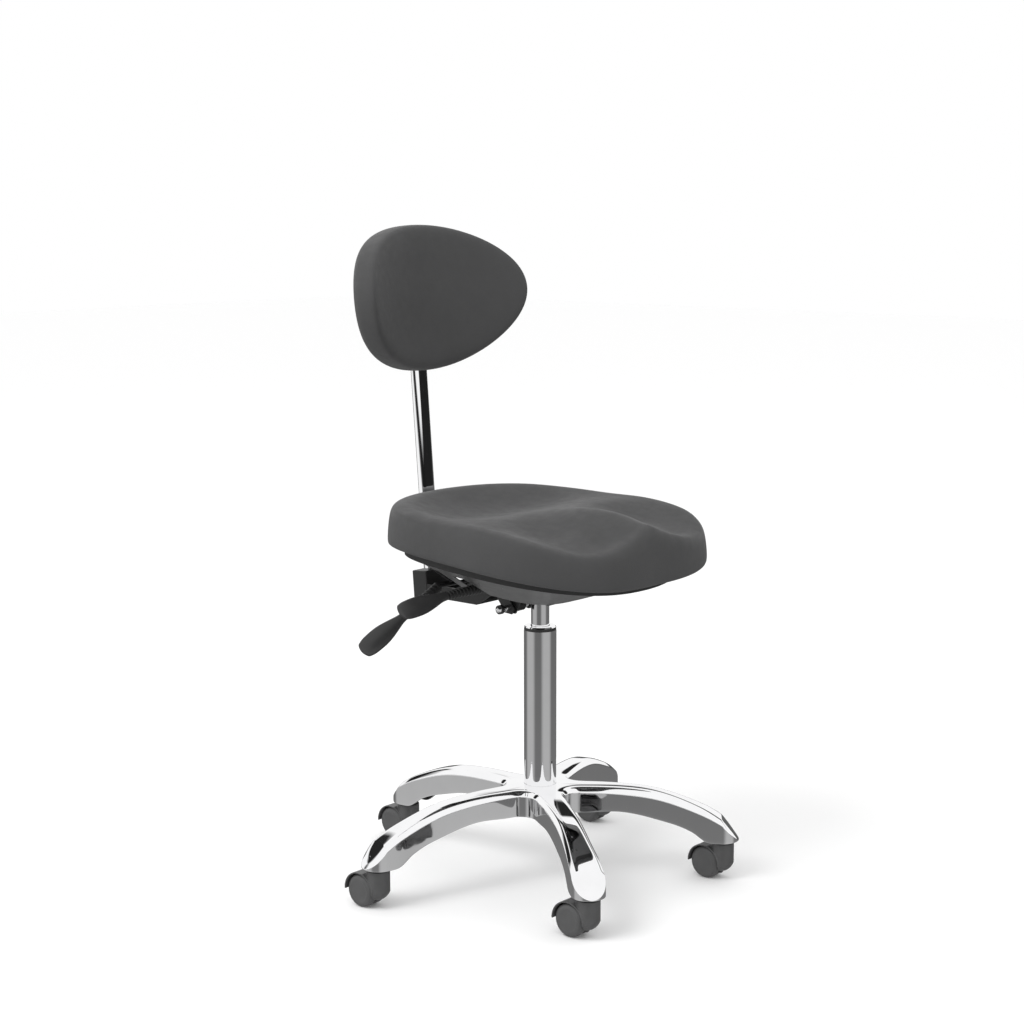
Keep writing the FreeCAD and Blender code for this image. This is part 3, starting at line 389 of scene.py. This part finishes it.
def star_ring(inset, height):
    """The star's outline moved in by inset; height is a function of the way along an arm."""
    ring = []
    rows = arm_rows(inset)
    middle = (HALF_HUB + FILLET) / math.sin(SECTOR)
    for angle in ARM_ANGLES[::-1]:
        for along, half in rows:
            ring.append(turned_by(angle, along, -half, height(along)))
        for along, half in rows[-2::-1]:
            ring.append(turned_by(angle, along, half, height(along)))
        hub = turned_by(angle + 36, middle, 0, 0)
        start = math.radians(angle - 90)
        for share in CORNER:
            turn = start - share * math.radians(180 - 72)
            spot = hub + Vector((math.cos(turn), math.sin(turn), 0)) * (FILLET + inset)
            spot.z = height(math.hypot(spot.x, spot.y))
            ring.append(spot)
    return ring


foot_fade = smooth_curve([0, 270, 290, 308], [1, 1, 0.8, 0.2])


def rounded(drop):
    """The crown's height lowered by drop, less so where the foot's bevel runs out."""
    return lambda along: max(crown(along) - drop * float(foot_fade(along)), FOOT_UNDER + 1.4)


def under(lift):
    """The arms' lower edge raised by lift, as a function of the way along an arm."""
    return lambda along: float(belly(along)) + lift


def base_star():
    """The five-arm casting: open below, with a boss for each caster and one for the tube."""
    shell = Shell()
    rows = [star_ring(WALL, rounded(ROOF)), star_ring(WALL, under(1)), star_ring(WALL, under(0)),
            star_ring(WALL - 0.6, under(0)), star_ring(0.9, under(0)), star_ring(0.25, under(0.3)),
            star_ring(0, under(1))]
    rows += [star_ring(inset, rounded(drop)) for inset, drop in BEVEL]
    numbers = shell.rings(rows)
    star_lid(shell, numbers[-1], *BEVEL[-1], TUBE, inside=False)
    star_lid(shell, numbers[0], WALL, ROOF, HUB_ROOM, inside=True)
    top = 90  # any height above the foot: the boss's upper rows move to the crown below
    for angle in ARM_ANGLES:
        spot = turned_by(angle, CIRCLE, 0, 0)
        boss = lathe(shell, [(BOSS, top), (BOSS, FOOT_UNDER + 0.6), (BOSS - 0.5, FOOT_UNDER),
                             (STEM_BORE + 0.4, FOOT_UNDER), (STEM_BORE, FOOT_UNDER + 0.6),
                             (STEM_BORE, top)], spot, (0, 0, 1), 32)
        for number in boss[0] + boss[-1]:
            point = shell.points[number]
            point.z = crown(math.hypot(point.x, point.y)) - BOSS_GAP
    lathe(shell, [(HUB_ROOM, HUB_FOOT + 35), (HUB_ROOM, HUB_FOOT + 1), (HUB_ROOM - 0.8, HUB_FOOT),
                  (TUBE - 0.3, HUB_FOOT), (TUBE - 1.1, HUB_FOOT + 1)], (0, 0, 0), (0, 0, 1))
    piece = mesh_piece("star_casting", shell.points, shell.faces, "polished_aluminium", "root",
                       ["base_star"])
    subdivide(piece, 2)


def star_lid(shell, ring, inset, drop, hole, inside):
    """Closes the star's ring over its arms and hub, round a central hole."""
    surface = rounded(drop if inside else 0)
    rows = arm_rows(inset)
    per_arm = 2 * len(rows) - 1 + len(CORNER)
    hub_loop = []
    for k, angle in enumerate(ARM_ANGLES[::-1]):
        start = k * per_arm
        before = None
        for i, (along, half) in enumerate(rows[:-1]):
            right = ring[start + i]
            left = ring[start + 2 * len(rows) - 2 - i]
            height = rounded(drop)(along)
            top = surface(along)
            inner = shell.row([turned_by(angle, along, half * t, height + (top - height) * (1 - t * t))
                               for t in ACROSS])
            row = [right] + inner + [left]
            if before:
                shell.faces += strip(before, row, closed=False)
            else:
                hub_loop += row
            before = row
        apex = ring[start + len(rows) - 1]
        shell.faces += [(before[j], before[j + 1], apex) for j in range(len(before) - 1)]
        hub_loop += ring[start + 2 * len(rows) - 1:start + per_arm]
    outer = [Vector(shell.points[i]) for i in hub_loop]
    ring_before = hub_loop
    for share in LID_STEPS:
        row = []
        for spot in outer:
            turn = math.atan2(spot.y, spot.x)
            goal = Vector((hole * math.cos(turn), hole * math.sin(turn), spot.z))
            point = spot.lerp(goal, share)
            gap = surface(math.hypot(spot.x, spot.y)) - spot.z
            point.z = surface(math.hypot(point.x, point.y)) - gap * (1 - share)
            row.append(point)
        numbers = shell.row(row)
        shell.faces += strip(ring_before, numbers)
        ring_before = numbers


base_star()


# ---------------------------------------------------------------- casters

def wheel(number, side, word):
    """A twin-wheel disc: rounded tread, soft shoulder and a shallow dish in its face."""
    low, high = span(f"caster_{number}_wheel_{word}")
    middle = (low + high) / 2
    radius = (high.z - low.z) / 2
    wide = high.x - low.x
    inner = middle.x - side * wide / 2
    profile = [(3.1, 1.6), (8, 1.6), (9, 0.3), (radius - 4, 0), (radius - 1.6, 0.4), (radius - 0.4, 1.6),
               (radius, 3.2), (radius, wide - 5.6), (radius - 0.7, wide - 3.6), (radius - 2.6, wide - 1.6),
               (radius - 5.2, wide - 0.5), (radius - 8, wide - 0.05), (radius - 8.8, wide - 0.2),
               (radius - 9.6, wide - 0.5), (radius - 14, wide - 0.6), (4, wide - 0.5), (0.4, wide - 0.5)]
    shell = Shell()
    rows = lathe(shell, profile, (inner, middle.y, middle.z), (side, 0, 0), 48)
    shell.cap(rows[-1], Vector((inner + side * (wide - 0.5), middle.y, middle.z)))
    piece = mesh_piece(f"caster_{number}_{word}_roller", shell.points, shell.faces, "wheel_plastic",
                       f"caster_{number}_{word}", [f"caster_{number}_wheel_{word}"])
    subdivide(piece, 1)


def softened_hood(number, master):
    """A caster's hood with the soft edges of a moulding; all five casters share its mesh."""
    piece = bpy.data.objects.new(f"caster_{number}_fender", master)
    bpy.context.scene.collection.objects.link(piece)
    low, high = span(f"caster_{number}_hood")
    piece.location = (low + high) / 2 * MM
    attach(piece, f"caster_{number}")
    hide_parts(f"caster_{number}_hood")


HOOD_VOXEL = 0.00055  # metres


def hood_master():
    """The first hood's mesh, remeshed fine and smoothed, with its middle at its origin."""
    low, high = span("caster_1_hood")
    work = bpy.data.objects.new("hood_work", nodes["caster_1_hood"].data.copy())
    bpy.context.scene.collection.objects.link(work)
    work.data.transform(Matrix.Translation(-(low + high) / 2 * MM))
    remesh = work.modifiers.new("remesh", "REMESH")
    remesh.mode = "VOXEL"
    remesh.voxel_size = HOOD_VOXEL
    relax = work.modifiers.new("relax", "SMOOTH")
    relax.factor = 0.5
    relax.iterations = 7
    thin = work.modifiers.new("thin", "DECIMATE")
    thin.ratio = 0.35
    bpy.context.view_layer.update()
    graph = bpy.context.evaluated_depsgraph_get()
    made = bpy.data.meshes.new_from_object(work.evaluated_get(graph))
    made.name = "fender"
    for face in made.polygons:
        face.use_smooth = True
    made.materials.clear()
    made.materials.append(LOOKS["caster_plastic"])
    bpy.data.objects.remove(work)
    return made


fender = hood_master()
for number in range(1, 6):
    wheel(number, -1, "right")
    wheel(number, 1, "left")
    softened_hood(number, fender)


# ---------------------------------------------------------------- seat

SEAT_Z = 501.7        # height of the cushion's underside over the column
SEAT_SLOPE = 0.08     # its fall towards the front
SEAT_MIDDLE = -20.0
DISH = 15.0           # its rise at 200 mm to either side


def seat_plane(x, y):
    """Height of the cushion's dished underside."""
    return SEAT_Z + SEAT_SLOPE * y + DISH * (x / 200) ** 2


def seat_reach(turn):
    """The cushion's outline round its middle; turn is 0 in front and grows towards the left."""
    return (230.4 - 11.5 * math.cos(turn) + 2.5 * math.cos(2 * turn) - 8.5 * math.cos(3 * turn)
            - 11 * math.cos(4 * turn))


def seat_point(turn, inset):
    reach = seat_reach(turn) - inset
    return reach * math.sin(turn), SEAT_MIDDLE - reach * math.cos(turn)


rim_height = smooth_curve([0, 17, 30, 41, 50, 60, 70, 80, 105, 125, 140, 155, 180],
                          [574, 553, 543.5, 546, 555, 565, 571, 575, 577, 581, 585, 587, 588])
RIM_INSET = 30.0

# Rows of the pad, from the middle of its underside to the rim: (moved in, above the underside),
# then (moved in, share of the way up to the rim), then the shares of the rim's reach on the top.
SEAT_UNDER = ((150, 1.0), (60, 0.6), (26, 0.4), (10, 0.2), (3.4, 0.1))
SEAT_WALL = ((0.9, 0.02), (0.0, 0.09), (0.4, 0.3), (1.8, 0.54), (3.6, 0.74), (5.8, 0.855), (9.0, 0.93),
             (13.5, 0.972), (20, 0.992), (RIM_INSET, 1.0))
SEAT_TOP = (0.95, 0.88, 0.78, 0.66, 0.54, 0.42, 0.3, 0.18, 0.07)

# Heights of the top that its surface is drawn through: (x, y, z), the same on both sides.
SEAT_HOLDS = [
    (0, 0, 573), (0, -40, 580), (0, -90, 586), (0, -145, 583),
    (55, -6, 574), (110, -18, 575), (150, -32, 575.5),
    (0, 100, 558), (62, 95, 559.5), (120, 85, 566), (0, 50, 563), (60, 45, 564), (0, 150, 568),
    (70, -100, 562), (105, -95, 556), (110, -150, 549), (60, -160, 561), (150, -105, 560),
]


def thin_plate(holds):
    """A smooth height over x and y through a few heights, as a thin sheet would bend."""
    spots = np.array([(x, y) for x, y, _ in holds]) / 100
    heights = np.array([z for _, _, z in holds])
    count = len(holds)

    def kernel(a, b):
        far = ((a[:, None, :] - b[None, :, :]) ** 2).sum(-1)
        return np.where(far > 0, 0.5 * far * np.log(far + 1e-12), 0)

    flat = np.hstack([np.ones((count, 1)), spots])
    system = np.block([[kernel(spots, spots) + 0.02 * np.eye(count), flat], [flat.T, np.zeros((3, 3))]])
    weights = np.linalg.solve(system, np.concatenate([heights, np.zeros(3)]))

    def at(x, y):
        here = np.array([[x, y]]) / 100
        return float(kernel(here, spots)[0] @ weights[:count] + weights[count]
                     + here[0] @ weights[count + 1:])

    return at


def seat_top():
    holds = []
    for x, y, z in SEAT_HOLDS:
        holds.append((x, y, z))
        if x:
            holds.append((-x, y, z))
    for degrees in range(-165, 181, 15):
        turn = math.radians(degrees)
        for inset in (RIM_INSET, RIM_INSET + 7):
            x, y = seat_point(turn, inset)
            holds.append((x, y, float(rim_height(abs(degrees))) - (inset - RIM_INSET) * 0.12))
    return thin_plate(holds)


def seat_cushion():
    """The seat pad: flared wall, rolled rim, rear bowl, two thigh channels and a front ridge."""
    top = seat_top()
    count = 120
    turns = [2 * math.pi * i / count for i in range(count)]
    shell = Shell()
    rows = []
    for inset, lift in SEAT_UNDER:
        rows.append([Vector((*seat_point(t, inset), seat_plane(*seat_point(t, inset)) + lift))
                     for t in turns])
    for inset, share in SEAT_WALL:
        row = []
        for t in turns:
            x, y = seat_point(t, inset)
            degrees = abs((math.degrees(t) + 180) % 360 - 180)
            low = seat_plane(x, y)
            row.append(Vector((x, y, low + (float(rim_height(degrees)) - low) * share)))
        rows.append(row)
    for share in SEAT_TOP:
        row = []
        for t in turns:
            x, y = seat_point(t, RIM_INSET)
            x *= share
            y = SEAT_MIDDLE + (y - SEAT_MIDDLE) * share
            row.append(Vector((x, y, top(x, y))))
        rows.append(row)
    numbers = shell.rings(rows)
    shell.cap(numbers[0], Vector((0, SEAT_MIDDLE, seat_plane(0, SEAT_MIDDLE) + 1)))
    shell.cap(numbers[-1], Vector((0, SEAT_MIDDLE, top(0, SEAT_MIDDLE))))
    piece = mesh_piece("seat_upholstery", shell.points, shell.faces, "upholstery", "seat",
                       ["seat_cushion"])
    subdivide(piece, 1)


seat_cushion()


# ---------------------------------------------------------------- backrest

LEAN = 4.44             # degrees the post leans back
BACK_FRONT = -34.7      # the pad's front face, from the post
BACK_CROWN = 0.6        # the front's middle stands out by this much
BACK_PANEL = 47.6       # depth of the rear panel behind the front face
BACK_CURVE = 295.0      # radius the pad is bent to, round the user
BACK_HALF_WIDTH = 178.0
BACK_HALF_HEIGHT = 113.6
BACK_CENTRE = 117.0

# Steps round the pad's edge, from its front to its rear panel: (moved in, behind the front).
BACK_RIM = [(35, 0.0), (20, 0.5), (12, 1.5), (7, 3.3), (3.6, 6), (1.6, 9.5), (0.6, 14), (0, 22),
            (0, 32), (0.5, 39), (1.8, 44), (4.4, 48), (8, 50.4), (12, 51.3), (17.2, 51.5), (18.6, 50.6),
            (19.3, 48.6), (22, BACK_PANEL), (40, BACK_PANEL)]
lean_frame = Matrix.Translation((0, 249.3, 767.5)) @ Matrix.Rotation(math.radians(-LEAN), 4, "X")


def back_point(turn, inset, depth, share=1.0):
    """A point of the backrest: round its oval, moved in and scaled, and behind its front face."""
    wide = (BACK_HALF_WIDTH - inset) * share
    high = (BACK_HALF_HEIGHT - inset) * share
    z = high * math.sin(turn)
    x = wide * math.cos(turn) * (1 + 0.06 * math.sin(turn))
    y = BACK_FRONT + depth - (BACK_CURVE - math.sqrt(BACK_CURVE ** 2 - x * x))
    return lean_frame @ Vector((x, y, z + BACK_CENTRE))


def back_cushion():
    """The backrest pad: a crowned front, rolled edges and a rear panel let in behind a groove."""
    count = 112
    turns = [2 * math.pi * i / count for i in range(count)]
    shell = Shell()
    rows = [[back_point(t, inset, depth) for t in turns] for inset, depth in BACK_RIM]
    first, last = BACK_RIM[0][0], BACK_RIM[-1][0]
    front_rows = [[back_point(t, first, -BACK_CROWN * (1 - share), share) for t in turns]
                  for share in (0.06, 0.2, 0.38, 0.56, 0.72, 0.87)]
    rear_rows = [[back_point(t, last, BACK_PANEL, share) for t in turns]
                 for share in (0.8, 0.55, 0.3, 0.08)]
    numbers = shell.rings(front_rows + rows + rear_rows)
    shell.cap(numbers[0], lean_frame @ Vector((0, BACK_FRONT - BACK_CROWN, BACK_CENTRE)))
    shell.cap(numbers[-1], lean_frame @ Vector((0, BACK_FRONT + BACK_PANEL, BACK_CENTRE)))
    piece = mesh_piece("backrest_upholstery", shell.points, shell.faces, "upholstery", "backrest",
                       ["back_cushion"])
    subdivide(piece, 1)


back_cushion()


# ---------------------------------------------------------------- levers

PADDLE_TWIST = 42.0
PADDLE_STEPS = (0, 0.6, 4, 9, 16, 24, 33, 43, 53, 63, 73, 81, 87, 91, 94, 96.2, 97.5, 98)
SQUARENESS = 2.4        # 2 makes a section oval, more makes it fuller


def paddle(name, node, root, direction, body):
    """A leaf-shaped grip: a round neck that flattens and widens to a blunt, thick-edged end."""
    along = Vector(direction).normalized()
    back = Vector((0, 1, 0))
    up = back.cross(along).normalized()
    twist = math.radians(PADDLE_TWIST)
    wide = (up * math.cos(twist) + back * math.sin(twist)).normalized()
    thin = along.cross(wide).normalized()
    half = smooth_curve([0, 10, 30, 52, 74, 90, 96, 98], [6.6, 7.0, 11.2, 15, 15.2, 13, 9.5, 4])
    deep = smooth_curve([0, 10, 30, 52, 74, 90, 96, 98], [6.6, 6.2, 4.4, 3.4, 3.2, 3.0, 2.4, 1.2])
    bow = smooth_curve([0, 30, 60, 98], [0, -1.2, -1.6, 0.6])
    count = 28
    rows = []
    for step in PADDLE_STEPS:
        row = []
        for i in range(count):
            turn = 2 * math.pi * i / count
            c, s = math.cos(turn), math.sin(turn)
            reach = (abs(c) ** SQUARENESS + abs(s) ** SQUARENESS) ** (-1 / SQUARENESS)
            x = float(half(step)) * c * reach
            y = float(deep(step)) * s * reach + float(bow(step)) * (1 - (c * 0.9) ** 2)
            row.append(Vector(root) + along * step + wide * x + thin * y)
        rows.append(row)
    shell = Shell()
    numbers = shell.rings(rows)
    shell.cap(numbers[0], Vector(root))
    shell.cap(numbers[-1], Vector(root) + along * 98.2)
    piece = mesh_piece(name, shell.points, shell.faces, "black_plastic", body, [node], PADDLE)
    subdivide(piece, 1)


def fallen(degrees):
    """The direction of a lever that falls by some degrees from the user's right."""
    return Vector((-math.cos(math.radians(degrees)), 0, -math.sin(math.radians(degrees))))


FRONT_DROP = 6
REAR_DROP = 24
FRONT_ROOT = Vector((-183.5, 25, 466))
REAR_ROOT = Vector((-138, 82, 466)) + fallen(REAR_DROP) * 79
paddle("front_lever_grip", "front_lever_paddle", FRONT_ROOT, fallen(FRONT_DROP), "front_lever")
paddle("rear_lever_grip", "rear_lever_paddle", REAR_ROOT, fallen(REAR_DROP), "rear_lever")


# ---------------------------------------------------------------- studio

# Brightness of the mirrored sky by height, from straight down at 0 to straight up at 1.
SKY = ((0.0, 0.30), (0.30, 0.20), (0.42, 0.125), (0.476, 0.125), (0.484, 0.012), (0.502, 0.012),
       (0.510, 0.98), (0.70, 1.0), (1.0, 1.0))

# Two soft glows below the horizon, which make the pale stripes of the column.
GLOWS = ((-0.819, 0.573, 0), (-0.087, -0.996, 0))
GLOW = 0.27

# Zones of the mirrored sky: the heights over which each fades in from below and from above, the
# (direction, start, end) it fades in by, and its brightness. In turn: a dark flag behind the stool
# with a pale window in it, the pale edge of the post with a thin line in it, the post's dark face.
ZONES = (
    ((0.30, 0.33), (0.58, 0.54), (((0.766, 0.643, 0), 0.35, 0.45), ((0.539, 0.842, 0), 0.97, 0.95)), 0.02),
    ((-0.19, -0.175), (-0.06, -0.075),
     (((-0.999, -0.05, 0), -0.05, 0.05), ((-0.68, -0.733, 0), 0.995, 0.985)), 0.95),
    ((-0.12, -0.10), (0.10, 0.08), (((0.719, -0.695, 0), 0.95, 0.97),), 0.015),
)
FLOOR_HALF = 14.0


def floor():
    data = bpy.data.meshes.new("floor")
    half = FLOOR_HALF
    data.from_pydata([(-half, -half, 0), (half, -half, 0), (half, half, 0), (-half, half, 0)], [],
                     [(0, 1, 2, 3)])
    made, _, shader = new_material("pale_floor")
    shader.inputs["Base Color"].default_value = (0.995, 0.995, 0.995, 1)
    shader.inputs["Roughness"].default_value = 0.9
    shader.inputs["Specular IOR Level"].default_value = 0.1
    data.materials.append(made)
    piece = bpy.data.objects.new("floor", data)
    bpy.context.scene.collection.objects.link(piece)
    piece.visible_glossy = False


def joined(tree, kind, operation, first, second):
    """The output of a maths node of a kind; second is a socket or a fixed value."""
    made = tree.nodes.new(kind)
    made.operation = operation
    tree.links.new(first, made.inputs[0])
    if isinstance(second, tuple):
        made.inputs[1].default_value = second
    else:
        tree.links.new(second, made.inputs[1])
    return made.outputs["Value" if operation == "DOT_PRODUCT" else 0]


def product(tree, first, second):
    return joined(tree, "ShaderNodeMath", "MULTIPLY", first, second)


def sky_by_height(tree, height):
    """The plain sky: white above a thin black horizon line, grey below it."""
    ramp = tree.nodes.new("ShaderNodeValToRGB")
    stops = ramp.color_ramp.elements
    for stop, (position, level) in zip(stops, (SKY[0], SKY[-1])):
        stop.position = position
        stop.color = (level, level, level, 1)
    for position, level in SKY[1:-1]:
        stops.new(position).color = (level, level, level, 1)
    half = tree.nodes.new("ShaderNodeMath")
    half.operation = "MULTIPLY_ADD"
    half.inputs[1].default_value = 0.5
    half.inputs[2].default_value = 0.5
    tree.links.new(height, half.inputs[0])
    tree.links.new(half.outputs[0], ramp.inputs[0])
    return ramp.outputs[0]


def studio_world():
    """White all round for light and backdrop; mirrors see a sky with a horizon and a few zones."""
    world = bpy.data.worlds.new("studio")
    bpy.context.scene.world = world
    world.use_nodes = True
    tree = world.node_tree
    tree.nodes.clear()
    place = tree.nodes.new("ShaderNodeTexCoord").outputs["Generated"]
    split = tree.nodes.new("ShaderNodeSeparateXYZ")
    tree.links.new(place, split.inputs[0])
    height = split.outputs["Z"]
    heading = tree.nodes.new("ShaderNodeVectorMath")
    heading.operation = "NORMALIZE"
    level_place = joined(tree, "ShaderNodeVectorMath", "MULTIPLY", place, (1, 1, 0))
    tree.links.new(level_place, heading.inputs[0])

    def toward(direction):
        return joined(tree, "ShaderNodeVectorMath", "DOT_PRODUCT", heading.outputs[0], direction)

    glows = []
    for direction in GLOWS:
        glow = mapped(tree, toward(direction), 0, GLOW, 0.72, 0.97)
        glow.node.interpolation_type = "SMOOTHSTEP"
        glows.append(glow)
    glow = product(tree, joined(tree, "ShaderNodeMath", "ADD", *glows),
                   mapped(tree, height, 0, 1, -0.085, -0.125))
    seen = joined(tree, "ShaderNodeVectorMath", "ADD", sky_by_height(tree, height), glow)
    for lower, upper, bounds, level in ZONES:
        zone = product(tree, mapped(tree, height, 0, 1, *lower), mapped(tree, height, 0, 1, *upper))
        for direction, start, end in bounds:
            zone = product(tree, zone, mapped(tree, toward(direction), 0, 1, start, end))
        shaded = tree.nodes.new("ShaderNodeMix")
        shaded.data_type = "RGBA"
        tree.links.new(zone, shaded.inputs["Factor"])
        tree.links.new(seen, shaded.inputs["A"])
        shaded.inputs["B"].default_value = (level, level, level, 1)
        seen = shaded.outputs["Result"]

    plain = tree.nodes.new("ShaderNodeBackground")
    plain.inputs["Color"].default_value = (1, 1, 1, 1)
    mirrored = tree.nodes.new("ShaderNodeBackground")
    tree.links.new(seen, mirrored.inputs["Color"])
    path = tree.nodes.new("ShaderNodeLightPath")
    mix = tree.nodes.new("ShaderNodeMixShader")
    output = tree.nodes.new("ShaderNodeOutputWorld")
    tree.links.new(path.outputs["Is Glossy Ray"], mix.inputs[0])
    tree.links.new(plain.outputs[0], mix.inputs[1])
    tree.links.new(mirrored.outputs[0], mix.inputs[2])
    tree.links.new(mix.outputs[0], output.inputs[0])


def area_light(name, place, target, size, energy):
    data = bpy.data.lights.new(name, "AREA")
    data.shape = "DISK"
    data.size = size
    data.energy = energy
    light = bpy.data.objects.new(name, data)
    light.location = place
    light.rotation_euler = (Vector(target) - Vector(place)).to_track_quat("-Z", "Y").to_euler()
    light.visible_glossy = False
    bpy.context.scene.collection.objects.link(light)


def camera(place, target, lens, shift):
    data = bpy.data.cameras.new("camera")
    data.sensor_width = 36
    data.lens = lens
    data.shift_x = shift
    data.clip_end = 60
    eye = bpy.data.objects.new("camera", data)
    eye.location = place
    eye.rotation_euler = (Vector(target) - eye.location).to_track_quat("-Z", "Y").to_euler()
    bpy.context.scene.collection.objects.link(eye)
    bpy.context.scene.camera = eye


floor()
studio_world()
area_light("key", (-2.6, 0.6, 3.2), (0, 0, 0.5), 2.2, 60)
camera((-2.2783, -1.9117, 1.0339), (0, 0, 0.5703), 70.0, -0.0275)
bpy.context.scene.view_settings.view_transform = "Standard"
bpy.context.scene.view_settings.look = "None"
